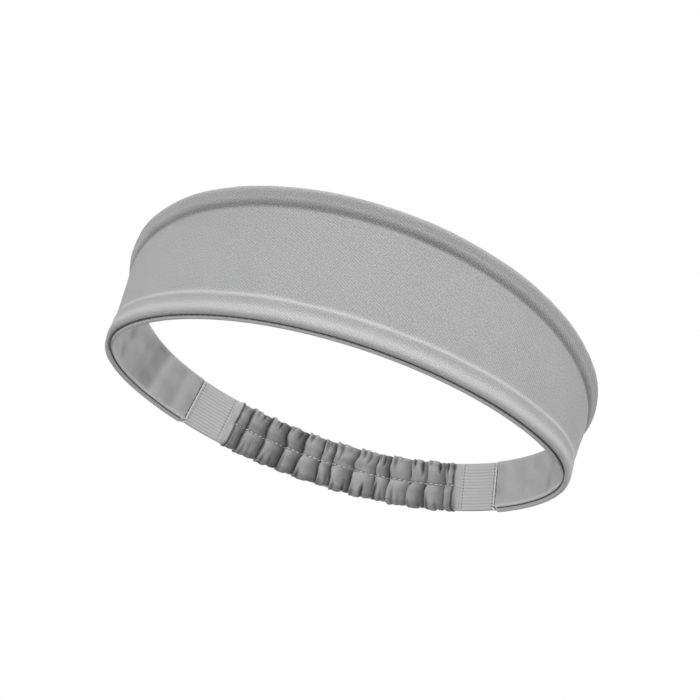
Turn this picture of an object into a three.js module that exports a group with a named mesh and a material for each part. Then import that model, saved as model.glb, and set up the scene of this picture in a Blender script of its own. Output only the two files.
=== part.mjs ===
// Sports headband: a tapered front panel of two sewn layers, closed at the back by a flat
// elastic that runs through a gathered sleeve. Millimetres, +Z up, the forehead towards -Y,
// the wearer's left towards +X. The loop stands on its lower edge. Angles run round the
// loop from the middle of the forehead, first to the wearer's left.
import * as THREE from 'three';

// Lower edge of the loop, seen from above
const HALF_WIDTH = 90;        // main half width, ear to ear
const SIDE_FLATTENING = 4.5;  // takes the width back a little at the temples
const HALF_DEPTH = 74.7;      // main half depth, forehead to nape
const FRONT_BIAS = -2.6;      // moves the fullest part towards the nape
const END_ROUNDING = 7.4;     // fills out the forehead and the nape
const CENTRE_SHIFT = 4.36;    // these two put the middle of the finished loop over the origin
const SIDE_SHIFT = -1.02;

// Height and lean of the band
const MEAN_HEIGHT = 28.7;
const TAPER = 12.4;           // tall at the forehead, low at the nape
const FRONT_CROWN = 3.6;      // keeps the nape half at one height
const FRONT_LEAN = 0.313;     // outward at the forehead, inward at the nape
const SIDE_LEAN = 0.025;      // inward at the temples
const SWAY = 0.044;           // the soft upper edge rests a little to the wearer's left
const SWAY_SIDES = 0.8;       // and keeps that lean to the temples

// Where the pieces end, as angles round the loop
const PANEL_END = THREE.MathUtils.degToRad(137);
const SLEEVE_START = THREE.MathUtils.degToRad(149);

// Layers, measured outward from the middle of the band
const GAP = 0.3;
const CORE_HALF = 0.4;
const LAYER = 0.8;
const EDGE_ROLL = 0.3;        // how far the turned-in hem stands proud
const HEM_WIDTH = 7;
const CORNER = 0.3;

const ELASTIC_WIDTH = 18.6;
const ELASTIC_HALF = 0.5;
const ELASTIC_TUCK = 6;       // length sewn in between the panel layers
const ELASTIC_BASE = 0.7;
const SLEEVE_HEIGHT = 20;
const SLEEVE_WALL = 1.2;      // cloth and its gathers
const SLEEVE_HEM = 0.4;       // wall under and over the elastic

const THREAD = 0.4;
const THREAD_HALF = THREAD / 2;
const SEAM_INSET = 0.1;       // from the panel's edge to its seam thread
const CORE_INSET = 3;
const STITCH_INSET = 2;       // from a piece's end to its stitch row
const ROW_MARGIN = 1.5;

const finish = {
  jersey: { color: 0xaaaaac, roughness: 0.9, metalness: 0 },
  lining: { color: 0x9c9c9e, roughness: 0.65, metalness: 0 },
  wadding: { color: 0xe2e0da, roughness: 1, metalness: 0 },
  elastic: { color: 0xc0c0c0, roughness: 0.8, metalness: 0 },
  sleeve: { color: 0x8f8f91, roughness: 0.85, metalness: 0 },
  thread: { color: 0x5e5e60, roughness: 0.7, metalness: 0 },
};

const headband = new THREE.Group();

/** Point on the lower edge's middle line. */
function edgePoint(angle) {
  const x = HALF_WIDTH * Math.sin(angle) + SIDE_FLATTENING * Math.sin(3 * angle);
  const y = HALF_DEPTH * Math.cos(angle) + FRONT_BIAS * Math.cos(2 * angle) + END_ROUNDING * Math.cos(3 * angle);
  return new THREE.Vector3(x + SIDE_SHIFT, CENTRE_SHIFT - y, 0);
}

/** Level direction out of the loop. */
function outward(angle) {
  const step = 1e-4;
  const along = edgePoint(angle + step).sub(edgePoint(angle - step));
  return new THREE.Vector3(along.y, -along.x, 0).normalize();
}

/** Direction up the band, which leans out at the forehead and in at the nape. */
function upBand(angle) {
  const evenLean = FRONT_LEAN * Math.cos(angle) + SIDE_LEAN * Math.cos(2 * angle);
  const sway = SWAY * (Math.sin(angle) - SWAY_SIDES * Math.sin(3 * angle));
  return outward(angle).multiplyScalar(evenLean + sway).add(new THREE.Vector3(0, 0, 1)).normalize();
}

function bandHeight(angle) {
  return MEAN_HEIGHT + TAPER * Math.cos(angle) + FRONT_CROWN * Math.cos(2 * angle);
}

/** Angle reached after walking a length along the lower edge. */
function walk(angle, length) {
  const step = 1e-3 * Math.sign(length);
  let left = Math.abs(length);
  let at = angle;
  while (left > 0) {
    left -= edgePoint(at + step).distanceTo(edgePoint(at));
    at += step;
  }
  return at;
}

/** Place a section point: `out` from the middle of the band, `up` its height. */
function place(angle, [out, up]) {
  return edgePoint(angle)
    .addScaledVector(outward(angle), out)
    .addScaledVector(upBand(angle), up);
}

/** Flat triangles across one end of a sweep, for a plain section or a tube's ring. */
function capFaces(rings) {
  if (rings.length === 2) {
    const count = rings[0].length;
    const faces = [];
    for (let i = 0; i < count; i += 1) {
      const j = (i + 1) % count;
      faces.push([i, j, count + j], [i, count + j, count + i]);
    }
    return faces;
  }
  return THREE.ShapeUtils.triangulateShape(rings[0].map(([out, up]) => new THREE.Vector2(out, up)), []);
}

/**
 * Closed solid swept round the loop. `section(angle)` gives one ring of [out, up] points,
 * or two rings of equal length, the outside first, for a tube that is open at both ends.
 */
function sweep(start, end, steps, section) {
  const points = [];
  const index = [];
  const stations = Array.from({ length: steps + 1 }, (_, i) => start + ((end - start) * i) / steps);
  const rings = section(start);
  const perStation = rings.reduce((sum, ring) => sum + ring.length, 0);
  for (const angle of stations) {
    for (const ring of section(angle)) ring.forEach((corner) => points.push(...place(angle, corner).toArray()));
  }
  for (let s = 0; s < steps; s += 1) {
    let first = 0;
    rings.forEach((ring, which) => {
      for (let i = 0; i < ring.length; i += 1) {
        const a = s * perStation + first + i;
        const b = s * perStation + first + ((i + 1) % ring.length);
        const faces = [a, b, b + perStation, a, b + perStation, a + perStation];
        index.push(...(which === 0 ? faces.reverse() : faces));
      }
      first += ring.length;
    });
  }
  const last = steps * perStation;
  for (const [a, b, c] of capFaces(rings)) index.push(a, b, c, last + c, last + b, last + a);
  const geometry = new THREE.BufferGeometry();
  geometry.setAttribute('position', new THREE.Float32BufferAttribute(points, 3));
  geometry.setIndex(index);
  geometry.computeVertexNormals();
  return geometry;
}

function addPiece(name, geometry, look) {
  const mesh = new THREE.Mesh(geometry, new THREE.MeshStandardMaterial(look));
  mesh.name = name;
  headband.add(mesh);
}

/** Rectangle from inner to outer face, anticlockwise. */
function slab(inner, outer, bottom, top) {
  return [[inner, bottom], [outer, bottom], [outer, top], [inner, top]];
}

/** Outer layer: turned-in hems stand a little proud along both edges. */
function outerSection(angle) {
  const height = bandHeight(angle);
  const inner = CORE_HALF + GAP;
  const face = inner + LAYER;
  const roll = face + EDGE_ROLL;
  return [[
    [inner, 0], [face, 0], [roll, CORNER * 2], [roll, HEM_WIDTH - 1], [face, HEM_WIDTH],
    [face, height - HEM_WIDTH], [roll, height - HEM_WIDTH + 1], [roll, height - CORNER * 2],
    [face, height], [inner, height],
  ]];
}

function liningSection(angle) {
  const height = bandHeight(angle);
  const outer = -(CORE_HALF + GAP);
  const face = outer - LAYER;
  return [[
    [face + CORNER, 0], [outer, 0], [outer, height], [face + CORNER, height],
    [face, height - CORNER * 2], [face, CORNER * 2],
  ]];
}

function addFrontPanel() {
  addPiece('outer_panel', sweep(-PANEL_END, PANEL_END, 128, outerSection), finish.jersey);
  addPiece('lining_panel', sweep(-PANEL_END, PANEL_END, 128, liningSection), finish.lining);
  const coreEnd = walk(PANEL_END, -(ELASTIC_TUCK + 2));
  const coreSection = (angle) => [slab(-CORE_HALF, CORE_HALF, CORE_INSET, bandHeight(angle) - CORE_INSET)];
  addPiece('absorbent_core', sweep(-coreEnd, coreEnd, 120, coreSection), finish.wadding);
}

function addEdgeSeams() {
  const end = walk(PANEL_END, -1);
  const lower = () => [slab(-THREAD_HALF, THREAD_HALF, SEAM_INSET, SEAM_INSET + THREAD)];
  const upper = (angle) => {
    const top = bandHeight(angle) - SEAM_INSET;
    return [slab(-THREAD_HALF, THREAD_HALF, top - THREAD, top)];
  };
  addPiece('lower_edge_thread', sweep(-end, end, 128, lower), finish.thread);
  addPiece('upper_edge_thread', sweep(-end, end, 128, upper), finish.thread);
}

function addElastic() {
  const start = walk(PANEL_END, -ELASTIC_TUCK);
  const section = () => [slab(-ELASTIC_HALF, ELASTIC_HALF, ELASTIC_BASE, ELASTIC_BASE + ELASTIC_WIDTH)];
  addPiece('rear_elastic', sweep(start, 2 * Math.PI - start, 60, section), finish.elastic);
}

function addSleeve() {
  const inside = ELASTIC_HALF + GAP;
  const outside = inside + SLEEVE_WALL;
  const section = () => [
    slab(-outside, outside, 0, SLEEVE_HEIGHT),
    slab(-inside, inside, SLEEVE_HEM, SLEEVE_HEIGHT - SLEEVE_HEM),
  ];
  addPiece('gathered_sleeve', sweep(SLEEVE_START, 2 * Math.PI - SLEEVE_START, 40, section), finish.sleeve);
}

/** Upright stitch row on the skin side, at one angle. */
function addRow(name, angle, face, top) {
  const half = THREAD_HALF / HALF_DEPTH;
  const outer = face - GAP;
  const section = () => [slab(outer - THREAD, outer, ROW_MARGIN, top - ROW_MARGIN)];
  addPiece(name, sweep(angle - half, angle + half, 1, section), finish.thread);
}

function addStitchRows() {
  const tabRow = walk(PANEL_END, STITCH_INSET);
  const sleeveRow = walk(SLEEVE_START, STITCH_INSET);
  const sleeveFace = -(ELASTIC_HALF + GAP + SLEEVE_WALL);
  const sides = { left: (angle) => angle, right: (angle) => 2 * Math.PI - angle };
  for (const [side, mirror] of Object.entries(sides)) {
    addRow(`${side}_tab_thread`, mirror(tabRow), -ELASTIC_HALF, ELASTIC_BASE + ELASTIC_WIDTH);
    addRow(`${side}_sleeve_end_thread`, mirror(sleeveRow), sleeveFace, SLEEVE_HEIGHT);
  }
  const start = walk(sleeveRow, STITCH_INSET);
  const middle = SLEEVE_HEIGHT / 2;
  const outer = sleeveFace - GAP;
  const section = () => [slab(outer - THREAD, outer, middle - THREAD_HALF, middle + THREAD_HALF)];
  addPiece('sleeve_centre_thread', sweep(start, 2 * Math.PI - start, 40, section), finish.thread);
}

addFrontPanel();
addEdgeSeams();
addElastic();
addSleeve();
addStitchRows();

export default headband;
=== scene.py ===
# %% [markdown]
# # A sports headband
# The band is a sewn loop: a tall front panel of two layers that tapers towards the nape, a
# ribbed elastic that closes it, and a gathered sleeve round the elastic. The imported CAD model
# gives the places and sizes. Here each soft solid is replaced by cloth that follows the same
# loop. Everything is in metres, the forehead is towards -Y and the wearer's left is +X.

import bmesh
import bpy
import numpy as np
from mathutils import Matrix, Vector


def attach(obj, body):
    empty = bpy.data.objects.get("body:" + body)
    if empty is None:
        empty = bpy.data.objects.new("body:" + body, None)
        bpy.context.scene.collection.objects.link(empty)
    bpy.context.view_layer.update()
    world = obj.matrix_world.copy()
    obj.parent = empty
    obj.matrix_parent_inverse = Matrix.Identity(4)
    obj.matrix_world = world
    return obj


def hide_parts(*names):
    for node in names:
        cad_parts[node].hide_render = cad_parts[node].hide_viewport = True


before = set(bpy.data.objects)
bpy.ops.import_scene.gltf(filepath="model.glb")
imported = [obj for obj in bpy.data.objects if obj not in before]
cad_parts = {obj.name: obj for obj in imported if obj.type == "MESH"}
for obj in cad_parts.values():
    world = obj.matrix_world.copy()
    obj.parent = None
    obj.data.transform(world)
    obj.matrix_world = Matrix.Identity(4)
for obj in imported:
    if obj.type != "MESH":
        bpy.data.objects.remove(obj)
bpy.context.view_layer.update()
MM = 0.001

# %% [markdown]
# ## The loop's own coordinates
# Every piece lies on one closed strip, so it is simplest to draw in the strip's coordinates:
# an angle round the loop from the middle of the forehead, a distance `out` from the middle of
# the band's thickness, and a height `up` along the band, which leans. These are the CAD
# model's formulas, written for whole arrays so that a fine grid is quick to make.

# %% Lower edge, outward and upward directions
HALF_WIDTH, SIDE_FLATTENING = 90 * MM, 4.5 * MM
HALF_DEPTH, FRONT_BIAS, END_ROUNDING = 74.7 * MM, -2.6 * MM, 7.4 * MM
CENTRE_SHIFT, SIDE_SHIFT = 4.36 * MM, -1.02 * MM
MEAN_HEIGHT, TAPER, FRONT_CROWN = 28.7 * MM, 12.4 * MM, 3.6 * MM
FRONT_LEAN, SIDE_LEAN = 0.313, 0.025
SWAY, SWAY_SIDES = 0.044, 0.8
PANEL_END, SLEEVE_START = np.radians(137), np.radians(149)
REAR = np.pi


def edge_point(angle):
    x = HALF_WIDTH * np.sin(angle) + SIDE_FLATTENING * np.sin(3 * angle)
    y = HALF_DEPTH * np.cos(angle) + FRONT_BIAS * np.cos(2 * angle) + END_ROUNDING * np.cos(3 * angle)
    return np.stack([x + SIDE_SHIFT, CENTRE_SHIFT - y, np.zeros_like(x)], -1)


def outward(angle):
    step = 1e-4
    along = edge_point(angle + step) - edge_point(angle - step)
    out = np.stack([along[..., 1], -along[..., 0], np.zeros_like(along[..., 0])], -1)
    return out / np.linalg.norm(out, axis=-1, keepdims=True)


def up_band(angle):
    lean = FRONT_LEAN * np.cos(angle) + SIDE_LEAN * np.cos(2 * angle)
    lean = lean + SWAY * (np.sin(angle) - SWAY_SIDES * np.sin(3 * angle))
    up = outward(angle) * lean[..., None] + np.array([0, 0, 1.0])
    return up / np.linalg.norm(up, axis=-1, keepdims=True)


def band_height(angle):
    return MEAN_HEIGHT + TAPER * np.cos(angle) + FRONT_CROWN * np.cos(2 * angle)


def place(angle, out, up):
    """Points of the loop; the three arrays have one shape."""
    return edge_point(angle) + outward(angle) * out[..., None] + up_band(angle) * up[..., None]


# %% Lengths along the loop
FINE = np.linspace(-REAR, 3 * REAR, 8001)
WALKED = np.concatenate([[0], np.cumsum(np.linalg.norm(np.diff(edge_point(FINE), axis=0), axis=1))])


def length_at(angle):
    return np.interp(angle, FINE, WALKED)


def angle_at(length):
    return np.interp(length, WALKED, FINE)


def walk(angle, length):
    return angle_at(length_at(angle) + length)


LOOP = length_at(REAR) - length_at(-REAR)
print(f"lower edge {LOOP / MM:.0f} mm round, front {band_height(np.array(0.0)) / MM:.1f} mm tall")

# %% [markdown]
# ## Making cloth meshes
# A piece of cloth is a grid: stations along the loop by points round its section. The helper
# below makes the faces, closes the two ends, turns the faces outwards, and lays a UV map in
# metres of cloth, so that a knit keeps its size wherever the cloth bends.


# %% Grid to mesh
def cloth_uv(mesh, points, columns):
    """UV in metres: u along the loop, v round the section."""
    rows = len(points)
    along = np.linalg.norm(np.diff(points.mean(1), axis=0), axis=1)
    u = np.concatenate([[0], np.cumsum(along)])
    loop = np.concatenate([points, points[:, :1]], 1)
    v = np.concatenate(
        [np.zeros((rows, 1)), np.cumsum(np.linalg.norm(np.diff(loop, axis=1), axis=2), axis=1)], 1
    )
    layer = mesh.uv_layers.new(name="cloth")
    for face in mesh.polygons:
        corners = [mesh.loops[i].vertex_index for i in face.loop_indices]
        wraps = max(c % columns for c in corners) == columns - 1 and min(c % columns for c in corners) == 0
        for i, corner in zip(face.loop_indices, corners):
            row, column = divmod(corner, columns)
            column = columns if wraps and column == 0 else column
            layer.data[i].uv = (u[row], v[row, column])


def new_piece(name, vertices, faces):
    mesh = bpy.data.meshes.new(name)
    mesh.from_pydata([tuple(p) for p in vertices], [], faces)
    mesh.update()
    piece = bpy.data.objects.new(name, mesh)
    bpy.context.collection.objects.link(piece)
    return piece


def face_out(piece):
    edit = bmesh.new()
    edit.from_mesh(piece.data)
    bmesh.ops.recalc_face_normals(edit, faces=edit.faces)
    edit.to_mesh(piece.data)
    edit.free()


def cloth_grid(name, points, material, closed=True):
    """`points` is stations x section points x 3. A closed grid gets flat ends."""
    rows, columns = points.shape[:2]
    ring = [(j, (j + 1) % columns) for j in range(columns)]
    faces = [
        (i * columns + a, (i + 1) * columns + a, (i + 1) * columns + b, i * columns + b)
        for i in range(rows - 1)
        for a, b in ring
    ]
    if closed:
        faces.append(tuple(range(columns)))
        faces.append(tuple((rows - 1) * columns + j for j in reversed(range(columns))))
    piece = new_piece(name, points.reshape(-1, 3), faces)
    cloth_uv(piece.data, points, columns)
    face_out(piece)
    piece.data.shade_smooth()
    piece.data.materials.append(material)
    print(f"{name}: {len(piece.data.vertices)} points")
    return piece


# %% Smooth uneven cloth
def soft_waves(u, v, size, seed, terms=9):
    """A gentle random surface from -1 to 1: a few long waves of about `size` metres."""
    rng = np.random.RandomState(seed)
    total = np.zeros(np.broadcast(u, v).shape)
    for _ in range(terms):
        turn, phase = rng.uniform(0, 2 * np.pi, 2)
        wave = size * rng.uniform(0.7, 1.5)
        total = total + np.sin(2 * np.pi * (u * np.cos(turn) + v * np.sin(turn)) / wave + phase)
    return total / np.sqrt(terms * 2)


def ease(x):
    x = np.clip(x, 0, 1)
    return x * x * (3 - 2 * x)


def notch(distance, width):
    """1 in the middle of a crease, falling away on both sides."""
    return np.exp(-((distance / width) ** 2))


# %% [markdown]
# ## Materials
# A knit is matte with a soft sheen at grazing angles. Its look comes from three scales: a
# slow change of tone, the speckle of the yarn, and a fine bump in rows. One function builds
# that, and each cloth gives its own sizes. The patterns read the UV map, which is in metres.
# Grooves, ridges, dents and creases are too fine for soft light to draw by itself, so the mesh
# also carries them as marks, and the materials paint light and shade there: painted shade in
# the grooves, dents, creases and rib valleys, painted highlights on ridges and rolls. An image
# texture could do all this, but a pattern made of nodes keeps its detail at any size.


# %% Node helpers
SHEEN_ROUGHNESS = 0.5
ONE_BAND = 0.314  # scale at which the wave texture's bands are one unit apart
# The Mix node has sockets for several kinds of value; these are the ones for a colour
MIX_FACTOR, MIX_FIRST, MIX_SECOND, MIX_RESULT = 0, 6, 7, 2


def new_material(name, roughness, sheen, specular=0.3):
    material = bpy.data.materials.new(name)
    material.use_nodes = True
    shader = material.node_tree.nodes["Principled BSDF"]
    shader.inputs["Roughness"].default_value = roughness
    shader.inputs["Sheen Weight"].default_value = sheen
    shader.inputs["Sheen Roughness"].default_value = SHEEN_ROUGHNESS
    shader.inputs["Specular IOR Level"].default_value = specular
    return material, material.node_tree, shader


def add_node(tree, kind, links=None, **values):
    node = tree.nodes.new(kind)
    for key, value in values.items():
        setattr(node, key, value)
    for name, source in (links or {}).items():
        socket = node.inputs[name]
        if isinstance(source, bpy.types.NodeSocket):
            tree.links.new(source, socket)
        else:
            socket.default_value = source
    return node


def math_node(tree, operation, a, b=0.0):
    node = add_node(tree, "ShaderNodeMath", {0: a, 1: b}, operation=operation)
    return node.outputs[0]


def mapped_uv(tree, across, turn=0.0):
    """UV in cloth widths of `across` metres, turned by `turn` radians."""
    uv = add_node(tree, "ShaderNodeUVMap", uv_map="cloth")
    scale = (1 / across, 1 / across, 1)
    links = {"Vector": uv.outputs[0], "Rotation": (0, 0, turn), "Scale": scale}
    return add_node(tree, "ShaderNodeMapping", links).outputs[0]


def noise_of(tree, size, detail=2.0):
    links = {"Vector": mapped_uv(tree, size), "Scale": 1.0, "Detail": detail}
    return add_node(tree, "ShaderNodeTexNoise", links).outputs["Fac"]


def rows_of(tree, pitch, turn, wobble=0.6):
    """Rows of stitches, `pitch` metres apart, a little uneven."""
    where = mapped_uv(tree, pitch, turn)
    links = {"Vector": where, "Scale": ONE_BAND, "Distortion": wobble, "Detail": 1.0}
    return add_node(tree, "ShaderNodeTexWave", links, wave_type="BANDS").outputs["Fac"]


def toned(tree, colour, changes):
    """`colour` made lighter and darker by (pattern, strength) pairs."""
    tone = 1.0
    for pattern, strength in changes:
        swing = math_node(tree, "MULTIPLY", math_node(tree, "SUBTRACT", pattern, 0.5), 2 * strength)
        tone = math_node(tree, "ADD", swing, tone)
    grey = add_node(tree, "ShaderNodeCombineXYZ", {"X": tone, "Y": tone, "Z": tone})
    links = {MIX_FACTOR: 1.0, MIX_FIRST: (*colour, 1), MIX_SECOND: grey.outputs[0]}
    mix = add_node(tree, "ShaderNodeMix", links, data_type="RGBA", blend_type="MULTIPLY")
    return mix.outputs[MIX_RESULT]


def bumped(tree, shader, layers):
    """Stack bumps: (pattern, depth in metres, strength) triples."""
    normal = None
    for pattern, depth, strength in layers:
        links = {"Height": pattern, "Distance": depth, "Strength": strength}
        if normal is not None:
            links["Normal"] = normal
        normal = add_node(tree, "ShaderNodeBump", links).outputs[0]
    tree.links.new(normal, shader.inputs["Normal"])


# %% Marks carried by the mesh
def mark(piece, **values):
    """Give each point of a piece one number under each name, for its material or its tree."""
    for name, value in values.items():
        data = piece.data.attributes.new(name, "FLOAT", "POINT")
        data.data.foreach_set("value", np.asarray(value, dtype=float).ravel())


def marked(tree, name, sign=1.0):
    """A mark as a pattern round one half, ready for `toned`; a sign of -1 darkens."""
    value = add_node(tree, "ShaderNodeAttribute", attribute_name=name).outputs["Fac"]
    return math_node(tree, "ADD", math_node(tree, "MULTIPLY", value, 0.5 * sign), 0.5)


# %% Outer jersey
JERSEY_GREY = (0.39, 0.39, 0.395)


def jersey_material():
    material, tree, shader = new_material("matte_jersey", 0.88, 0.25)
    rows = rows_of(tree, pitch=0.75 * MM, turn=np.radians(-60), wobble=1.5)
    yarn = noise_of(tree, 0.45 * MM, detail=3.0)
    slow = noise_of(tree, 14 * MM)
    # Painted shade: the groove mark darkens the jersey in the groove under the upper roll.
    groove, ridge = marked(tree, "groove", -1), marked(tree, "ridge")
    # The ridge mark is a painted highlight on the hem's two ridges in front and on the lip behind.
    tones = [(rows, 0.08), (yarn, 0.60), (slow, 0.05), (groove, 0.42), (ridge, 0.18)]
    colour = toned(tree, JERSEY_GREY, tones)
    tree.links.new(colour, shader.inputs["Base Color"])
    bumped(tree, shader, [(rows, 0.05 * MM, 0.5), (yarn, 0.06 * MM, 0.5)])
    return material


# %% Lining
LINING_GREY = (0.45, 0.45, 0.455)


def lining_material():
    material, tree, shader = new_material("smooth_lining", 0.55, 0.15, specular=0.4)
    rows = rows_of(tree, pitch=0.4 * MM, turn=0.0)
    slow = noise_of(tree, 11 * MM)
    yarn = noise_of(tree, 0.3 * MM)
    # Painted shade from the dent mark in the hollows of the folds and along a line above the roll in front.
    dent, pressed = marked(tree, "dent", -1), marked(tree, "pressed")
    # A painted highlight lightens the lining's small roll above the lower seam behind.
    tones = [(slow, 0.06), (rows, 0.03), (yarn, 0.03), (dent, 0.26), (pressed, 0.45)]
    colour = toned(tree, LINING_GREY, tones)
    tree.links.new(colour, shader.inputs["Base Color"])
    bumped(tree, shader, [(rows, 0.02 * MM, 0.5), (slow, 0.25 * MM, 0.3)])
    return material


# %% Ribbed elastic
ELASTIC_GREY = (0.47, 0.47, 0.47)


def elastic_material():
    material, tree, shader = new_material("ribbed_elastic", 0.75, 0.2)
    weft = rows_of(tree, pitch=0.5 * MM, turn=0.0, wobble=0.2)
    yarn = noise_of(tree, 0.3 * MM, detail=3.0)
    # Painted shade: darker in the valleys between the ribs and lighter on the ridges, from the stored
    # height.
    rib = add_node(tree, "ShaderNodeAttribute", attribute_name="rib").outputs["Fac"]
    colour = toned(tree, ELASTIC_GREY, [(rib, 0.13), (weft, 0.04), (yarn, 0.10)])
    tree.links.new(colour, shader.inputs["Base Color"])
    bumped(tree, shader, [(weft, 0.04 * MM, 0.5), (yarn, 0.03 * MM, 0.4)])
    return material


# %% Sleeve cloth, wadding and thread
SLEEVE_GREY = (0.35, 0.35, 0.355)
WADDING_CREAM = (0.74, 0.72, 0.66)
SEAM_GREY = (0.09, 0.09, 0.093)
# The tab rows' dark grey is the thread's own colour together with painted shade of the stitch holes.
TAB_GREY = (0.2, 0.2, 0.205)
ROW_GREY = (0.6, 0.6, 0.605)
PLY_TURN, PLIES_PER_METRE = (0.6, 0.5, 0.4), 1600


def sleeve_material():
    material, tree, shader = new_material("sleeve_jersey", 0.6, 0.25, specular=0.4)
    rows = rows_of(tree, pitch=0.45 * MM, turn=np.radians(90))
    slow = noise_of(tree, 7 * MM)
    yarn = noise_of(tree, 0.3 * MM)
    # Painted shade from the crease mark: in creases, pucker valleys, the stitch ditch and along the upper
    # rim. The hem mark makes the cloth lighter over the last 2 mm at each end.
    crease, hem = marked(tree, "crease", -1), marked(tree, "hem")
    tones = [(slow, 0.05), (rows, 0.03), (yarn, 0.05), (crease, 0.88), (hem, 0.3)]
    colour = toned(tree, SLEEVE_GREY, tones)
    tree.links.new(colour, shader.inputs["Base Color"])
    bumped(tree, shader, [(rows, 0.02 * MM, 0.4), (yarn, 0.02 * MM, 0.4)])
    return material


def wadding_material():
    material, tree, shader = new_material("soft_wadding", 1.0, 0.4)
    fluff = noise_of(tree, 1.2 * MM, detail=4.0)
    tree.links.new(toned(tree, WADDING_CREAM, [(fluff, 0.12)]), shader.inputs["Base Color"])
    bumped(tree, shader, [(fluff, 0.3 * MM, 0.6)])
    return material


def thread_material(name, grey):
    """Two plies seen as slanting stripes, on the object's own coordinates."""
    material, tree, shader = new_material(name, 0.6, 0.2)
    where = add_node(tree, "ShaderNodeTexCoord").outputs["Object"]
    links = {"Vector": where, "Rotation": PLY_TURN, "Scale": (PLIES_PER_METRE,) * 3}
    spun = add_node(tree, "ShaderNodeMapping", links).outputs[0]
    plies = add_node(tree, "ShaderNodeTexWave", {"Vector": spun, "Scale": 0.5, "Distortion": 1.0})
    tree.links.new(toned(tree, grey, [(plies.outputs["Fac"], 0.2)]), shader.inputs["Base Color"])
    bumped(tree, shader, [(plies.outputs["Fac"], 0.03 * MM, 0.5)])
    return material


jersey = jersey_material()
lining = lining_material()
elastic = elastic_material()
sleeve_cloth = sleeve_material()
wadding = wadding_material()
seam_thread = thread_material("seam_thread", SEAM_GREY)
tab_thread = thread_material("tab_thread", TAB_GREY)
sleeve_thread = thread_material("sleeve_thread", ROW_GREY)

# %% [markdown]
# ## Outer panel
# The jersey is turned in along both edges. The turned hem makes a soft lip along the lower
# edge, and a roll with a deep groove under it along the upper one. A strip with Bevel and
# Solidify would give plain round edges, so the section is drawn instead: a few points from
# the seam, round the lower roll, up the face and over the upper roll, carried round the loop.
# The lip and the roll keep their size, and only the plain face between them gets taller or
# shorter with the band.

# %% Section of the outer panel
# (out, up) in mm from the lower edge, and (out, down) in mm from the upper edge
LIP_IN_FRONT = [
    (0.62, 2.4), (0.58, 1.5), (0.8, 1.1), (1.35, 0.92), (1.95, 0.98), (2.42, 1.3), (2.62, 1.9), (2.56, 2.6),
    (2.34, 3.5), (2.02, 4.5), (1.82, 5.4), (1.75, 6.3), (1.74, 7.1), (1.68, 7.8), (1.42, 8.4), (1.2, 9.0),
    (1.13, 9.7), (1.12, 10.8),
]
LIP_BEHIND = [
    (-0.28, 2.6), (-0.2, 1.8), (-0.26, 1.2), (-0.34, 0.8), (-0.26, 0.4), (0.0, 0.08), (0.5, 0.0), (1.0, 0.1),
    (1.4, 0.5), (1.65, 1.2), (1.75, 2.0), (1.75, 3.0), (1.68, 4.0), (1.6, 5.0), (1.5, 6.0), (1.25, 7.0),
    (1.12, 8.2),
]
UPPER_ROLL = [
    (1.14, 9.0), (1.17, 8.2), (1.14, 7.4), (1.0, 6.8), (0.8, 6.3), (0.76, 5.7), (0.92, 5.2), (1.28, 4.5),
    (1.56, 3.8), (1.7, 3.1), (1.92, 2.5), (2.18, 1.9), (2.34, 1.3), (2.32, 0.7), (2.08, 0.2), (1.6, 0.0),
    (1.0, 0.02), (0.45, 0.22), (0.14, 0.85),
]
INNER_FACE = 0.5
SEAM_TURN = np.radians(56), np.radians(90)  # the visible seam passes under the edge between these


def resampled(points, count):
    """`count` evenly spaced points on a smooth curve through `points`."""
    points = np.array(points)
    curve = bpy.data.curves.new("outline", "CURVE")
    spline = curve.splines.new("BEZIER")
    spline.bezier_points.add(len(points) - 1)
    for handle, (out, up) in zip(spline.bezier_points, points):
        handle.co = (out, up, 0)
        handle.handle_left_type = handle.handle_right_type = "AUTO"
    holder = bpy.data.objects.new("outline", curve)
    bpy.context.collection.objects.link(holder)
    bpy.context.view_layer.update()
    mesh = holder.to_mesh()
    line = np.array([v.co[:2] for v in mesh.vertices])
    holder.to_mesh_clear()
    bpy.data.objects.remove(holder)
    bpy.data.curves.remove(curve)
    walked = np.concatenate([[0], np.cumsum(np.linalg.norm(np.diff(line, axis=0), axis=1))])
    at = np.linspace(0, walked[-1], count)
    return np.stack([np.interp(at, walked, line[:, k]) for k in (0, 1)], -1)


# %% Frame of the panel's layers
STATIONS = 560
BACK_POINTS, BACK_FROM_TOP, BACK_FROM_EDGE = 8, 1.6 * MM, 3.4 * MM
THINNEST_END = 0.02  # its square root is the share of the thickness left at the very end


def in_front(angles):
    """1 where the seam shows on the outside of the lower edge, 0 where it shows on the inside."""
    first, last = SEAM_TURN
    return 1 - ease((np.abs(angles) - first) / (last - first))


def panel_section(angles, lower, upper, back, middle_count=16):
    """Out and up arrays, stations x section points, for a hem, a plain face and a hem.

    `lower` is the pair of lower hems in front and behind, which blend into each other."""
    height = band_height(angles)[:, None]
    share = in_front(angles)[:, None]
    ones = np.ones_like(height)
    low_out, low_up = (MM * (lower[0][:, k] * share + lower[1][:, k] * (1 - share)) for k in (0, 1))
    top_out, top_up = upper[:, 0] * MM * ones, height - upper[:, 1] * MM
    between = np.linspace(0, 1, middle_count + 2)[1:-1]
    mid_out = low_out[:, -1:] * (1 - between) + top_out[:, :1] * between
    mid_up = low_up[:, -1:] * (1 - between) + top_up[:, :1] * between
    inner = np.linspace(0, 1, BACK_POINTS)
    back_up = (height - BACK_FROM_TOP) * (1 - inner) + BACK_FROM_EDGE * inner
    back_out = back * MM * np.ones_like(back_up)
    return np.hstack([low_out, mid_out, top_out, back_out]), np.hstack([low_up, mid_up, top_up, back_up])


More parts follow.
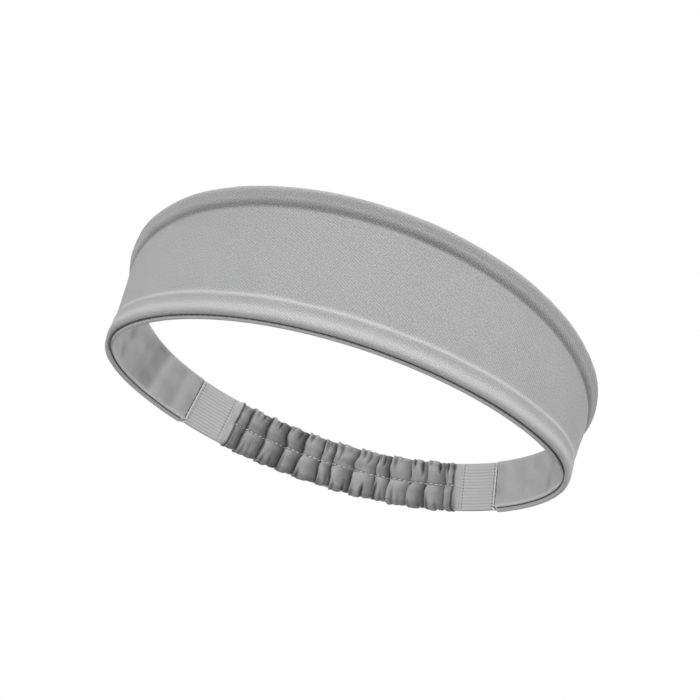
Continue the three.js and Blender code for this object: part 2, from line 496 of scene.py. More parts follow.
def panel_angles():
    """Even stations, with more of them close to the two ends, where the edge is rounded."""
    end_steps = np.array([0.02, 0.06, 0.12, 0.2, 0.32, 0.48, 0.68, 0.95]) * MM
    near = angle_at(length_at(PANEL_END) - end_steps)
    inside = np.linspace(-near[-1], near[-1], STATIONS)[1:-1]
    return np.concatenate([[-PANEL_END], -near, inside, near[::-1], [PANEL_END]])


def rounded_end(angles, out, up, middle, radius):
    """Draw the section in towards its middle over the last `radius` metres of the panel."""
    left = (length_at(PANEL_END) - length_at(np.abs(angles)))[:, None]
    closing = np.sqrt(np.clip(1 - (1 - np.clip(left / radius, 0, 1)) ** 2, THINNEST_END, 1))
    half = band_height(angles)[:, None] / 2
    shorter = 1 - (1 - closing) * radius / half
    return middle + (out - middle) * closing, half + (up - half) * shorter


# %% Build the outer panel
FACE_STARTS, FACE_EDGE = 0.8 * MM, 0.4 * MM
FACE_WAVES = ((0.10, 26, 3), (0.05, 8, 4))  # depth and length in mm, and a seed
PANEL_MIDDLE, PANEL_END_RADIUS = 0.6 * MM, 0.9 * MM
# Marks of painted shade in the groove and painted highlights on the hem ridges and the lip: how high, or how
# far below the top, and how wide
GROOVE = (5.6 * MM, 1.3 * MM)
HEM_RIDGES = ((3.4 * MM, 1.7 * MM), (8.2 * MM, 0.7 * MM))
LIP = (0.3 * MM, 1.6 * MM)
LIP_BRIGHTNESS = 1.4
HEM_OUT = 1.2 * MM


def make_outer_panel():
    angles = panel_angles()
    lower = resampled(LIP_IN_FRONT, 40), resampled(LIP_BEHIND, 40)
    out, up = panel_section(angles, lower, resampled(UPPER_ROLL, 44), INNER_FACE)
    along = length_at(angles)[:, None] + 0 * up
    face = ease((out - FACE_STARTS) / FACE_EDGE)
    for depth, size, seed in FACE_WAVES:
        out = out + face * depth * MM * soft_waves(along, up, size * MM, seed)
    out, up = rounded_end(angles, out, up, PANEL_MIDDLE, PANEL_END_RADIUS)
    piece = cloth_grid("outer_panel_cloth", place(angles[:, None] + 0 * up, out, up), jersey)
    below_top = band_height(angles)[:, None] - up
    # Painted shade in the groove under the upper roll
    groove = notch(below_top - GROOVE[0], GROOVE[1]) * (out > PANEL_MIDDLE)
    # Painted highlights on the hem's two ridges and on the lower lip behind
    ridges = sum(notch(up - at, wide) for at, wide in HEM_RIDGES) * (out > HEM_OUT)
    lip = notch(up - LIP[0], LIP[1]) * (1 - in_front(angles))[:, None]
    mark(piece, groove=groove, ridge=ridges + LIP_BRIGHTNESS * lip)
    return piece, np.trapz(band_height(angles), length_at(angles))


outer_panel, face_area = make_outer_panel()
print(f"plain face of the panel {face_area * 1e4:.0f} square cm")

# %% [markdown]
# ## Lining
# The lining is sewn to the jersey edge to edge and turned. In front its roll hangs a little
# below the seam and shows from outside. Behind, the jersey hangs lower and the lining ends
# in a small roll above the seam. Along the top it has a roll of its own, a little lower than
# the jersey's, with the upper seam between the two. Its face never lies quite flat, least of
# all at the sides, where long shallow folds run up the band. Sculpting could make them, but
# a few random waves need no hand work and come out the same each time.

# %% Section and folds of the lining
LINING_IN_FRONT = [
    (0.3, 2.4), (0.2, 1.6), (0.2, 1.1), (0.3, 0.72), (0.36, 0.5), (0.28, 0.24), (0.0, 0.05), (-0.4, 0.0),
    (-0.85, 0.1), (-1.18, 0.45), (-1.32, 1.0), (-1.33, 1.7), (-1.3, 2.8),
]
LINING_BEHIND = [
    (-0.6, 2.6), (-0.56, 1.95), (-0.66, 1.5), (-0.92, 1.26), (-1.2, 1.32), (-1.4, 1.6), (-1.46, 2.1),
    (-1.4, 2.8), (-1.32, 3.6),
]
LINING_ABOVE = [
    (-1.3, 3.2), (-1.32, 2.5), (-1.36, 1.8), (-1.34, 1.2), (-1.16, 0.7), (-0.85, 0.45), (-0.55, 0.52),
    (-0.35, 0.8), (-0.28, 1.2),
]
LINING_FACE_STARTS, LINING_FACE_EDGE = -1.0 * MM, 0.25 * MM
FLAT_EDGE = 3 * MM  # the folds fade out over this height at both edges
ALONG_FOLDS, SMALL_FOLDS = (17 * MM, 12), (9 * MM, 15)  # length and seed
FOLD_STRETCH, SMALL_SHARE = 0.18, 0.4
LOOSE_FROM, LOOSE_OVER = 0.9, 0.6  # radians from the forehead, where the lining gets looser
FOLD_DEPTH, LOOSE_DEPTH = 0.14, 0.26
# Painted shade along a line above the lower roll in front: height, width and strength
SHADE_LINE, SHADE_STRENGTH = (1.9 * MM, 0.5 * MM), 0.9
# Painted highlight on the lining's small roll behind: height and width
PRESSED_LINE = (1.6 * MM, 0.6 * MM)
LINING_MIDDLE, LINING_END_RADIUS = -0.7 * MM, 0.8 * MM


def make_lining():
    angles = panel_angles()
    lower = resampled(LINING_IN_FRONT, 34), resampled(LINING_BEHIND, 34)
    out, up = panel_section(angles, lower, resampled(LINING_ABOVE, 28), -INNER_FACE, 24)
    height = band_height(angles)[:, None]
    along = length_at(angles)[:, None] + 0 * up
    face = ease((LINING_FACE_STARTS - out) / LINING_FACE_EDGE)
    face = face * ease(up / FLAT_EDGE) * ease((height - up) / FLAT_EDGE)
    folds = soft_waves(along, FOLD_STRETCH * up, *ALONG_FOLDS)
    folds = folds + SMALL_SHARE * soft_waves(along, up, *SMALL_FOLDS)
    side = ease((np.abs(angles[:, None]) - LOOSE_FROM) / LOOSE_OVER)
    out = out - face * MM * (FOLD_DEPTH + LOOSE_DEPTH * side) * folds
    share = in_front(angles)[:, None]
    # Painted shade in the hollows of the folds and along a line above the lower roll in front
    shade = SHADE_STRENGTH * share * notch(up - SHADE_LINE[0], SHADE_LINE[1])
    dent = np.clip(-folds, 0, 1) * face * side + shade
    # Painted highlight on the small roll above the lower seam behind
    pressed = notch(up - PRESSED_LINE[0], PRESSED_LINE[1]) * (1 - share)
    out, up = rounded_end(angles, out, up, LINING_MIDDLE, LINING_END_RADIUS)
    piece = cloth_grid("lining_cloth", place(angles[:, None] + 0 * up, out, up), lining)
    mark(piece, dent=dent, pressed=pressed)
    return piece


lining_panel = make_lining()


# %% [markdown]
# ## Wadding
# A thin sheet of wadding between the layers would give the panel its body. Nothing of it can
# be seen from outside, so it is a guess, and it is kept simple: a flat section with rounded
# edges, clear of both layers.

# %% Wadding between the layers
CORE_FROM_END, CORE_HALF, CORE_INSET = 8 * MM, 0.38 * MM, 3.8 * MM
CORE_STATIONS, CORE_RING = 200, 24
FLATNESS, EDGE_ROUNDING = 0.4, 0.7  # powers of the oval: below 1 they square it off


def make_core():
    end = walk(np.array(PANEL_END), -CORE_FROM_END)
    angles = np.linspace(-float(end), float(end), CORE_STATIONS)
    height = band_height(angles)[:, None]
    turn = np.linspace(0, 2 * np.pi, CORE_RING, endpoint=False)
    out = CORE_HALF * np.sign(np.sin(turn)) * np.abs(np.sin(turn)) ** FLATNESS * np.ones_like(height)
    half = height / 2 - CORE_INSET
    up = height / 2 + half * np.sign(np.cos(turn)) * np.abs(np.cos(turn)) ** EDGE_ROUNDING
    return cloth_grid("wadding_sheet", place(angles[:, None] + 0 * up, out, up), wadding)


core = make_core()

# %% [markdown]
# ## Ribbed elastic
# The elastic has ribs along its length and a plain selvedge. A bump in the material would
# leave its outline smooth, so the ribs are real. The body is a plain strip, and a
# Geometry Nodes tree raises the ribs from the height across the strip that each point
# carries. The tree also writes how high each point stands, and the material uses it for
# painted shade, darker in the valleys between the ribs and lighter on the ridges.

# %% Body of the elastic
ELASTIC_WIDTH, ELASTIC_HALF, ELASTIC_BASE = 18.6 * MM, 0.42 * MM, 0.7 * MM
SELVEDGE = 2.6 * MM
ELASTIC_TUCK = 6 * MM  # sewn in between the panel's layers at each end
ELASTIC_STATIONS, ELASTIC_ACROSS = 440, 100
RAISED, RAISED_FROM, RAISED_OVER = 1.6 * MM, 0.2 * MM, 1.5 * MM
FOLD_OVER, FOLD_EDGE = 1.3 * MM, 0.3 * MM  # a plain strip beside each panel end stands proud


def make_elastic_body():
    """A strip whose lower edge rises where it is tucked in, clear of the panel's lower roll."""
    start = float(walk(np.array(PANEL_END), -ELASTIC_TUCK))
    angles = np.linspace(start, 2 * REAR - start, ELASTIC_STATIONS)
    across = np.linspace(0, 1, ELASTIC_ACROSS)
    sides = [(ELASTIC_HALF, across), (-ELASTIC_HALF, across[::-1])]
    out = np.concatenate([np.full_like(run, half) for half, run in sides])
    up = np.concatenate([run for _, run in sides])
    grid = np.ones((len(angles), 1))
    tucked = length_at(PANEL_END) - length_at(np.minimum(angles, 2 * REAR - angles))
    raised = RAISED * ease((tucked[:, None] - RAISED_FROM) / RAISED_OVER) * (1 - up)
    height = ELASTIC_BASE + up * ELASTIC_WIDTH + raised
    points = place(angles[:, None] * np.ones_like(out), out * grid, height)
    piece = cloth_grid("ribbed_elastic_band", points, elastic)
    from_left = length_at(angles) - length_at(PANEL_END)
    from_right = length_at(2 * REAR - PANEL_END) - length_at(angles)
    folded = 1 - ease((np.minimum(from_left, from_right) - FOLD_OVER) / FOLD_EDGE)
    mark(piece, across=np.tile(up, len(angles)), folded=np.repeat(folded, len(up)))
    return piece


# %% Rib tree
def tree_of(name, inputs):
    tree = bpy.data.node_groups.new(name, "GeometryNodeTree")
    tree.interface.new_socket("Geometry", in_out="INPUT", socket_type="NodeSocketGeometry")
    for label, (kind, value) in inputs.items():
        socket = tree.interface.new_socket(label, in_out="INPUT", socket_type=kind)
        if value is not None:
            socket.default_value = value
    tree.interface.new_socket("Geometry", in_out="OUTPUT", socket_type="NodeSocketGeometry")
    return tree, tree.nodes.new("NodeGroupInput"), tree.nodes.new("NodeGroupOutput")


def finish_tree(tree, last, source, output):
    """Every tree ends in Realize Instances and Set Material."""
    real = add_node(tree, "GeometryNodeRealizeInstances", {"Geometry": last})
    links = {"Geometry": real.outputs[0], "Material": source.outputs["Material"]}
    painted = add_node(tree, "GeometryNodeSetMaterial", links)
    tree.links.new(painted.outputs[0], output.inputs[0])


def grow(piece, tree, values, name):
    """Run a tree on a piece, and keep the result as a plain mesh of its own."""
    modifier = piece.modifiers.new("grow", "NODES")
    modifier.node_group = tree
    for item in tree.interface.items_tree:
        if item.item_type == "SOCKET" and item.in_out == "INPUT" and item.name in values:
            modifier[item.identifier] = values[item.name]
    bpy.context.view_layer.update()
    shown = piece.evaluated_get(bpy.context.evaluated_depsgraph_get())
    mesh = bpy.data.meshes.new_from_object(shown)
    mesh.name = name
    result = bpy.data.objects.new(name, mesh)
    bpy.context.collection.objects.link(result)
    old = piece.data
    bpy.data.objects.remove(piece)
    if isinstance(old, bpy.types.Mesh):
        bpy.data.meshes.remove(old)
    print(f"{name}: {len(mesh.polygons)} faces")
    return result


def carried(tree, name):
    """A mark that the mesh carries, read inside a tree."""
    node = add_node(tree, "GeometryNodeInputNamedAttribute", {"Name": name}, data_type="FLOAT")
    return node.outputs[0]


RIB_VALUES = {"Ribs": 13.0, "Depth": 0.09 * MM, "Plain share": SELVEDGE / ELASTIC_WIDTH}
# How full a rib is (a power of its sine), and heights as shares of the ribs' depth
RIB_FULLNESS, SELVEDGE_HEIGHT, FOLDED_HEIGHT = 0.7, 0.8, 2.8


def rib_tree():
    inputs = {label: ("NodeSocketFloat", value) for label, value in RIB_VALUES.items()}
    inputs["Material"] = ("NodeSocketMaterial", None)
    tree, source, output = tree_of("raise_ribs", inputs)
    across = carried(tree, "across")
    ribbed = math_node(tree, "SUBTRACT", 1.0, source.outputs["Plain share"])
    phase = math_node(tree, "DIVIDE", across, ribbed)
    phase = math_node(tree, "MULTIPLY", phase, source.outputs["Ribs"])
    wave = math_node(tree, "SINE", math_node(tree, "MULTIPLY", phase, np.pi))
    crest = math_node(tree, "POWER", math_node(tree, "ABSOLUTE", wave), RIB_FULLNESS)
    plain = math_node(tree, "GREATER_THAN", across, ribbed)
    selvedge = math_node(tree, "MULTIPLY", plain, SELVEDGE_HEIGHT)
    folded = math_node(tree, "MULTIPLY", carried(tree, "folded"), FOLDED_HEIGHT)
    height = math_node(tree, "MAXIMUM", math_node(tree, "MAXIMUM", crest, selvedge), folded)
    normal = add_node(tree, "GeometryNodeInputNormal").outputs[0]
    raised = math_node(tree, "MULTIPLY", height, source.outputs["Depth"])
    shift = add_node(tree, "ShaderNodeVectorMath", {0: normal}, operation="SCALE")
    tree.links.new(raised, shift.inputs["Scale"])
    links = {"Geometry": source.outputs["Geometry"], "Offset": shift.outputs[0]}
    moved = add_node(tree, "GeometryNodeSetPosition", links)
    # The stored height is used for painted shade in the rib valleys.
    links = {"Geometry": moved.outputs[0], "Name": "rib", "Value": height}
    stored = add_node(tree, "GeometryNodeStoreNamedAttribute", links, data_type="FLOAT", domain="POINT")
    finish_tree(tree, stored.outputs[0], source, output)
    return tree


rib_values = {**RIB_VALUES, "Material": elastic}
elastic_band = grow(make_elastic_body(), rib_tree(), rib_values, "rear_elastic_ribbed")

# %% [markdown]
# ## Gathered sleeve
# The sleeve is taken to be cut half as long again as the stretch it covers, so it lies in folds
# across the band. Each fold leans over like a soft pleat: a wide easy side and a steep side.
# Folds differ in width, wander as they cross the band, and pucker again at the edges, where
# the cloth turns round the elastic. The middle is held down by the stitch row.
#
# A cloth simulation is the usual way to gather a strip: pin the stitch row and draw it in.
# One short trial of that came out jagged and crossed itself, and it wasn't tuned further.
# Here the folds are a formula instead, with fixed seeds, so each one can be shaped directly.

# %% Fold lines
SLEEVE_LENGTH = float(length_at(2 * REAR - SLEEVE_START) - length_at(SLEEVE_START))
SLEEVE_HEIGHT = 20 * MM
FOLDS = 13
FOLD_SEED = 27
rng = np.random.RandomState(FOLD_SEED)
fold_widths = rng.uniform(0.6, 1.4, FOLDS)
fold_starts = np.concatenate([[0], np.cumsum(fold_widths)]) / fold_widths.sum()
fold_depths = rng.uniform(0.5, 1.0, (FOLDS, 2))
puckers = rng.uniform(0, 1, (FOLDS, 2, 2, 3))
print(f"sleeve {SLEEVE_LENGTH / MM:.0f} mm long, {FOLDS} folds")

# %% Section of the sleeve
SLEEVE_HALF, SLEEVE_INSET = 0.75 * MM, 1.0 * MM
RING, SLEEVE_ROWS = 80, 600


def sleeve_ring():
    """Flat oval, anticlockwise from the skin side: points, then their outward directions."""
    radius = SLEEVE_HALF
    half = SLEEVE_HEIGHT / 2 - SLEEVE_INSET - radius
    side, bend = 2 * half, np.pi * radius
    at = np.linspace(0, 2 * (side + bend), RING, endpoint=False)
    outer = at >= side + bend
    at = np.where(outer, at - side - bend, at)
    turned = np.clip((at - side) / radius, 0, np.pi)
    out, up = -radius * np.cos(turned), np.minimum(at, side) - half + radius * np.sin(turned)
    n_out, n_up = -np.cos(turned), np.sin(turned)
    flip = np.where(outer, -1, 1)
    return out * flip, up * flip + SLEEVE_HEIGHT / 2, n_out * flip, n_up * flip


# %% Folded surface
# Lengths in mm. A pleat rises over the first length and drops over the second
PLEAT_HEIGHT, PLEAT_RISE, PLEAT_DROP, FULL_WIDTH = 2.2, 1.8, 0.6, 8
LEAN, LEAN_RISE, LEAN_DROP = 0.75, 2, 0.5
# Widths in mm of the painted shade lines at a pleat's foot and under its steep edge
FOOT_CREASE, EDGE_CREASE = 0.75, 0.5
GATHER_PITCH, GATHER_HEIGHT = 2.2, 0.1
DITCH_DEPTH, DITCH_WIDTH = 0.3, 0.4
CRUMPLE_DEPTH, CRUMPLE_SIZE, CRUMPLE_SEED = 0.2, 5, 33
ENDS_FLAT, LOWEST = 3.5, -0.2
# Shares: of the fold's width, of the half height of the band, or of the darkest painted shade in a crease
HELD_AT_MIDDLE, HELD_TO = 0.65, 0.35
FOOT_SPREAD, RIM_FROM, RIM_SHADE = 1.1, 0.86, 0.55
GATHER_TO, DITCH_SHADE = 0.3, 0.7
WANDER, WANDER_ALONG, WANDER_SEED = 0.007, 8, 31


def fold_surface(share, up, side_turn):
    """Height of the cloth over the flat sleeve, its lean along the loop, and the painted shade in its
    creases.

    `share` runs 0 to 1 along the sleeve, `up` is the height, `side_turn` the way round the section.
    """
    centred = (up - SLEEVE_HEIGHT / 2) / (SLEEVE_HEIGHT / 2)
    edge = np.abs(centred)
    half = np.sign(centred) * ease(edge / 0.1)
    round_band = np.cos(side_turn) * 1.2 + 0.6 * half + 0.2 * centred
    wander = WANDER * soft_waves(share * WANDER_ALONG, round_band, 2.0, WANDER_SEED)
    fold = np.interp(np.clip(share + wander, 0, 1), fold_starts, np.arange(FOLDS + 1))
    index = np.clip(fold.astype(int), 0, FOLDS - 1)
    above = (centred > 0).astype(int)
    width = fold_widths[index] / fold_widths.sum() * SLEEVE_LENGTH
    across = fold - index
    before, after = across * width, (1 - across) * width

    # One leaning pleat: a foot with painted shade, a rising face and a steep edge over the next foot
    held = HELD_AT_MIDDLE + (1 - HELD_AT_MIDDLE) * ease(edge / HELD_TO)
    tall = (0.5 + 0.5 * np.minimum(width / (FULL_WIDTH * MM), 1.3)) * PLEAT_HEIGHT * MM
    rise, drop = np.tanh(before / (PLEAT_RISE * MM)), np.tanh(after / (PLEAT_DROP * MM))
    pleat = rise * drop * (0.5 + 0.7 * across)
    rise, drop = np.tanh(before / (LEAN_RISE * MM)), np.tanh(after / (LEAN_DROP * MM))
    lean = held * LEAN * MM * rise * drop * across
    depth = fold_depths[index, above]
    # Painted shade over each pleat's foot, in thin lines on both sides of it, and along the upper rim
    foot = depth * ease(1 - across / (FOOT_SPREAD * depth))
    lines = np.maximum(notch(before, FOOT_CREASE * MM), notch(after, EDGE_CREASE * MM))
    rim = RIM_SHADE * ease((centred - RIM_FROM) / (1 - RIM_FROM))
    crease = np.maximum(np.maximum(foot, lines), rim)

    # Puckers run in from the edges and die out towards the stitch row
    small = 0.0
    for k in (0, 1):
        at, deep, reach = (puckers[index, above, k, m] for m in range(3))
        near_edge = ease((edge - 0.05 - 0.5 * reach) / 0.5)
        from_middle = (across - 0.3 - 0.35 * k - 0.2 * at) * width
        valley = near_edge * notch(from_middle, (0.35 + 0.45 * near_edge) * MM)
        small = small - (0.5 + 0.9 * deep) * MM * valley
        # Painted shade in the pucker's valley
        crease = np.maximum(crease, (0.5 + 0.6 * deep) * valley)

    near_row = ease((GATHER_TO - edge) / GATHER_TO)
    ripple = np.sin(2 * np.pi * share * SLEEVE_LENGTH / (GATHER_PITCH * MM))
    gather = ripple * GATHER_HEIGHT * MM * near_row
    ditch = notch(centred * SLEEVE_HEIGHT / 2, DITCH_WIDTH * MM)
    crumple = CRUMPLE_DEPTH * MM * soft_waves(share * SLEEVE_LENGTH, up, CRUMPLE_SIZE * MM, CRUMPLE_SEED)
    lift = tall * held * pleat + small + gather - DITCH_DEPTH * MM * ditch + crumple
    flat = ENDS_FLAT * MM
    ends = ease(share * SLEEVE_LENGTH / flat) * ease((1 - share) * SLEEVE_LENGTH / flat)
    crease = np.maximum(crease, DITCH_SHADE * ditch)
    return ends * np.maximum(lift, LOWEST * MM), ends * lean, ends * crease


# %% Build the sleeve
HEM_WIDTH, HEM_EDGE = 2.1 * MM, 0.4 * MM
HEM_LINE, HEM_LINE_WIDTH = 2.9 * MM, 0.5 * MM
EDGE_LIFT = 0.6  # share of the lift that is lost where the cloth turns over the band's edge
WALL = 0.3 * MM


def make_sleeve():
    out, up, n_out, n_up = sleeve_ring()
    turn = np.linspace(np.pi, 3 * np.pi, RING, endpoint=False)
    share = np.linspace(0, 1, SLEEVE_ROWS)[:, None] + 0 * out
    lift, lean, crease = fold_surface(share, up + 0 * share, turn + 0 * share)
    lift = lift * (1 - EDGE_LIFT * np.abs(n_up))
    along = length_at(SLEEVE_START) + share * SLEEVE_LENGTH + lean
    points = place(angle_at(along), out + n_out * lift, up + n_up * lift)
    piece = cloth_grid("gathered_sleeve_cloth", points, sleeve_cloth, closed=False)
    from_end = np.minimum(share, 1 - share) * SLEEVE_LENGTH
    hem = 1 - ease((from_end - HEM_WIDTH) / HEM_EDGE)
    # Painted shade in a line across the sleeve, 2.9 mm in from each end
    crease = np.maximum(crease, notch(from_end - HEM_LINE, HEM_LINE_WIDTH))
    mark(piece, crease=crease, hem=hem)
    return piece


sleeve = make_sleeve()
wall = sleeve.modifiers.new("wall", "SOLIDIFY")
wall.thickness, wall.offset = WALL, -1

# %% [markdown]
# ## Stitches
# A stitch row is one short bead of thread repeated along a line. Array and Curve modifiers
# would bend each bead with the line, so a Geometry Nodes tree is used. It takes the line as a
# mesh path, spaces the beads evenly and turns each one along the path. It sews the seams on
# both edges, the rows across the elastic and the row along the sleeve.


# %% Stitch tree
def stitch_tree():
    inputs = {
        "Pitch": ("NodeSocketFloat", 2 * MM), "Stitch": ("NodeSocketFloat", 1.4 * MM),
        "Thread": ("NodeSocketFloat", 0.3 * MM), "Material": ("NodeSocketMaterial", None),
    }  # the three sizes here are only defaults, since every row gives its own
    tree, source, output = tree_of("sew_row", inputs)
    curve = add_node(tree, "GeometryNodeMeshToCurve", {"Mesh": source.outputs["Geometry"]})
    links = {"Curve": curve.outputs[0], "Length": source.outputs["Pitch"]}
    spaced = add_node(tree, "GeometryNodeCurveToPoints", links, mode="LENGTH")
    bead = add_node(tree, "GeometryNodeMeshUVSphere", {"Segments": 8, "Rings": 6, "Radius": 0.5})
    size = add_node(tree, "ShaderNodeCombineXYZ")
    tree.links.new(source.outputs["Thread"], size.inputs["X"])
    tree.links.new(source.outputs["Thread"], size.inputs["Y"])
    tree.links.new(source.outputs["Stitch"], size.inputs["Z"])
    links = {
        "Points": spaced.outputs["Points"], "Instance": bead.outputs["Mesh"],
        "Rotation": spaced.outputs["Rotation"], "Scale": size.outputs[0],
    }
    beads = add_node(tree, "GeometryNodeInstanceOnPoints", links)
    smooth = add_node(tree, "GeometryNodeSetShadeSmooth", {"Geometry": beads.outputs[0]})
    finish_tree(tree, smooth.outputs[0], source, output)
    return tree


sewing = stitch_tree()


def sew(name, line, pitch, stitch, thread, material):
    """Sew along `line`, an array of points."""
    path = new_piece(name + "_path", line, [])
    starts = np.arange(len(line) - 1)
    path.data.edges.add(len(starts))
    path.data.edges.foreach_set("vertices", np.stack([starts, starts + 1], 1).ravel())
    path.data.update()
    values = {"Pitch": pitch, "Stitch": stitch, "Thread": thread, "Material": material}
    return grow(path, sewing, values, name)


# %% Edge seams
EDGE_STITCH = {"pitch": 2.4 * MM, "stitch": 2.7 * MM, "thread": 0.42 * MM}
UPPER_SEAM_OUT, UPPER_SEAM_DOWN = -0.12 * MM, 0.3 * MM
SEAM_FROM_END, SEAM_POINTS = 1 * MM, 700


def edge_seam(name, from_top):
    """The lower seam crosses under the edge, from outside in front to inside behind."""
    end = float(walk(np.array(PANEL_END), -SEAM_FROM_END))
    angles = np.linspace(-end, end, SEAM_POINTS)
    share = in_front(angles)
    if from_top:
        out, up = np.full_like(angles, UPPER_SEAM_OUT), band_height(angles) - UPPER_SEAM_DOWN
    else:
        out = (1.05 * share - 0.5) * MM
        up = (1.25 - 0.4 * share - 1.4 * share * (1 - share)) * MM
    line = place(angles, out, up)
    if not from_top:
        line = np.concatenate([end_line(-1)[::-1], line, end_line(1)])
    return sew(name, line, material=seam_thread, **EDGE_STITCH)


def end_line(side):
    """Up the end of the panel on the skin side, just past the lining."""
    up = np.linspace(1.2 * MM, ELASTIC_BASE + ELASTIC_WIDTH - 1.4 * MM, 30)
    angle = side * float(walk(np.array(PANEL_END), 0.3 * MM))
    return place(np.full_like(up, angle), np.full_like(up, -0.78 * MM), up)


lower_seam = edge_seam("lower_edge_stitches", False)
upper_seam = edge_seam("upper_edge_stitches", True)


# %% Rows across the elastic
ROW_STITCH = {"pitch": 1.25 * MM, "stitch": 0.85 * MM, "thread": 0.3 * MM}
TAB_INSET, SLEEVE_END_GAP = 2.2 * MM, 1.4 * MM
TAB_MARGIN, END_MARGIN = 1.2 * MM, 0.8 * MM


def upright_row(name, side, angle, out, low, high):
    turn = angle if side == "left" else 2 * REAR - angle
    up = np.linspace(low, high, 40)
    line = place(np.full_like(up, turn), np.full_like(up, out), up)
    return sew(name, line, material=tab_thread, **ROW_STITCH)


# The end rows lie on the elastic, just outside the sleeve
tab_at = float(walk(np.array(PANEL_END), TAB_INSET))
end_at = float(walk(np.array(SLEEVE_START), -SLEEVE_END_GAP))
rib_face = -ELASTIC_HALF - 0.14 * MM
base, top = ELASTIC_BASE, ELASTIC_BASE + ELASTIC_WIDTH
tab_rows, end_rows = {}, {}
for side in ("left", "right"):
    name = f"{side}_tab_stitches"
    tab_rows[side] = upright_row(name, side, tab_at, rib_face, base + TAB_MARGIN, top - TAB_MARGIN)
    name = f"{side}_sleeve_end_stitches"
    end_rows[side] = upright_row(name, side, end_at, rib_face, base + END_MARGIN, top - END_MARGIN)


# %% Row along the middle of the sleeve
CENTRE_STITCH = {"pitch": 2.2 * MM, "stitch": 1.6 * MM, "thread": 0.38 * MM}
CENTRE_OVER, CENTRE_POINTS = 0.12 * MM, 900


def centre_line():
    """It follows the folds, but never turns back, so that no stitch crosses the one before."""
    share = np.linspace(0.012, 0.988, CENTRE_POINTS)
    up = np.full_like(share, SLEEVE_HEIGHT / 2)
    lift, lean, _ = fold_surface(share, up, np.full_like(share, np.pi))
    along = np.maximum.accumulate(length_at(SLEEVE_START) + share * SLEEVE_LENGTH + lean)
    out = -(SLEEVE_HALF + lift + CENTRE_OVER)
    return place(angle_at(along), out, up)


centre_row = sew("sleeve_centre_stitches", centre_line(), material=sleeve_thread, **CENTRE_STITCH)

# %% [markdown]
# ## What each piece stands for
# All of it is one soft body, so every piece rides on the root. Each one replaces the CAD
# solid of the same part. The turnings and the fullness are assumed.

# %% Ride and replace
stands_for = [
    (outer_panel, "outer_panel"), (lining_panel, "lining_panel"), (core, "absorbent_core"),
    (elastic_band, "rear_elastic"), (sleeve, "gathered_sleeve"), (lower_seam, "lower_edge_thread"),
    (upper_seam, "upper_edge_thread"), (centre_row, "sleeve_centre_thread"),
    (tab_rows["left"], "left_tab_thread"), (tab_rows["right"], "right_tab_thread"),
    (end_rows["left"], "left_sleeve_end_thread"), (end_rows["right"], "right_sleeve_end_thread"),
]
for piece, node in stands_for:
    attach(piece, "root")
    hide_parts(node)

# %% [markdown]
# ## Floor, light and camera
# The camera looks up at the band from below its lower edge. The floor is one-sided so that it
# shows under the band from above and lets the camera see the band from below. Six wide soft
# lamps light it: a key in front and above, one on each side, one behind, and two from below,
# which give the inside of the band its light. A white world fills in evenly, as in a tent.


# %% One-sided floor
FLOOR_DROP, FLOOR_GREY = 0.2 * MM, (0.86, 0.86, 0.86, 1)
FADE_FROM, FADE_TO = 0.2, 0.55


def make_floor():
    """It fades into the white surroundings well away from the band."""
    bpy.ops.mesh.primitive_plane_add(size=2, location=(0, 0, -FLOOR_DROP))
    floor = bpy.context.object
    floor.name = "floor"
    material, tree, shader = new_material("pale_floor", 0.9, 0.0)
    shader.inputs["Base Color"].default_value = FLOOR_GREY
    clear = tree.nodes.new("ShaderNodeBsdfTransparent")
    below = tree.nodes.new("ShaderNodeNewGeometry").outputs["Backfacing"]
    where = add_node(tree, "ShaderNodeTexCoord").outputs["Object"]
    away = add_node(tree, "ShaderNodeVectorMath", {0: where}, operation="LENGTH").outputs["Value"]
    links = {"Value": away, "From Min": FADE_FROM, "From Max": FADE_TO}
    fade = add_node(tree, "ShaderNodeMapRange", links, interpolation_type="SMOOTHSTEP").outputs[0]
    mix = add_node(tree, "ShaderNodeMixShader", {0: math_node(tree, "MAXIMUM", below, fade)})
    tree.links.new(shader.outputs[0], mix.inputs[1])
    tree.links.new(clear.outputs[0], mix.inputs[2])
    tree.links.new(mix.outputs[0], tree.nodes["Material Output"].inputs[0])
    floor.data.materials.append(material)
    floor.visible_diffuse = floor.visible_glossy = False
    floor.visible_shadow = floor.visible_transmission = False


make_floor()


# %% Lamps and surroundings
LAMPS_AIM_AT = Vector((0, 0, 0.02))
TENT_STRENGTH = 0.22


def area_lamp(name, place_at, size, watts):
    lamp = bpy.data.lights.new(name, "AREA")
    lamp.size, lamp.energy = size, watts
    holder = bpy.data.objects.new(name, lamp)
    holder.location = place_at
    bpy.context.collection.objects.link(holder)
    towards = LAMPS_AIM_AT - holder.location
    holder.rotation_euler = towards.to_track_quat("-Z", "Y").to_euler()


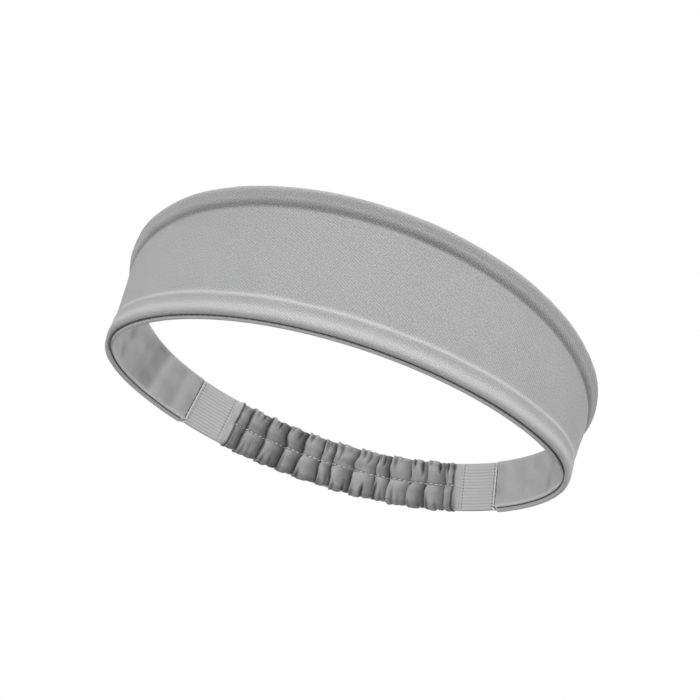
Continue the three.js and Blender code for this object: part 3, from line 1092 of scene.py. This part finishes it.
area_lamp("key", (0.15, -0.8, 1.0), 0.6, 10.5)
area_lamp("table_bounce", (0, 0.15, -0.9), 0.8, 1.6)
area_lamp("right_fill", (1.0, -0.6, 0.2), 0.8, 8)
area_lamp("left_fill", (-1.0, -0.6, 0.2), 0.8, 7)
area_lamp("under_fill", (-0.4, -0.9, -0.6), 0.9, 4.4)
area_lamp("rear_fill", (0.3, 1.1, 0.7), 0.9, 7)

world = bpy.data.worlds.new("tent")
bpy.context.scene.world = world
world.use_nodes = True
tent = world.node_tree
backdrop = tent.nodes["Background"]
backdrop.inputs[0].default_value = (1, 1, 1, 1)
backdrop.inputs[1].default_value = TENT_STRENGTH
seen = add_node(tent, "ShaderNodeBackground", {0: (1, 1, 1, 1), 1: 1.0})
path_kind = tent.nodes.new("ShaderNodeLightPath")
choose = add_node(tent, "ShaderNodeMixShader", {0: path_kind.outputs["Is Camera Ray"]})
tent.links.new(backdrop.outputs[0], choose.inputs[1])
tent.links.new(seen.outputs[0], choose.inputs[2])
tent.links.new(choose.outputs[0], tent.nodes["World Output"].inputs[0])
bpy.context.scene.view_settings.view_transform = "Standard"

# %% Camera
CAMERA_AT = (66.6 * MM, -514.9 * MM, -173.2 * MM)
CAMERA_SIDE, CAMERA_BELOW, CAMERA_ROLL = np.radians(7.66), np.radians(21.14), np.radians(18.03)
FOCAL, SENSOR = 78.06, 36
NEAR, FAR = 0.01, 20


def make_camera():
    """It stands a little to the wearer's left, looks up from below, and is rolled."""
    side, below = CAMERA_SIDE, CAMERA_BELOW
    looks = Vector((-np.sin(side) * np.cos(below), np.cos(side) * np.cos(below), np.sin(below)))
    level = looks.cross(Vector((0, 0, 1))).normalized()
    upright = level.cross(looks)
    right = level * np.cos(CAMERA_ROLL) + upright * np.sin(CAMERA_ROLL)
    up = upright * np.cos(CAMERA_ROLL) - level * np.sin(CAMERA_ROLL)
    data = bpy.data.cameras.new("camera")
    data.lens, data.sensor_width = FOCAL, SENSOR
    data.clip_start, data.clip_end = NEAR, FAR
    camera = bpy.data.objects.new("camera", data)
    turn = Matrix((right, up, -looks)).transposed().to_4x4()
    camera.matrix_world = Matrix.Translation(CAMERA_AT) @ turn
    bpy.context.collection.objects.link(camera)
    bpy.context.scene.camera = camera


make_camera()
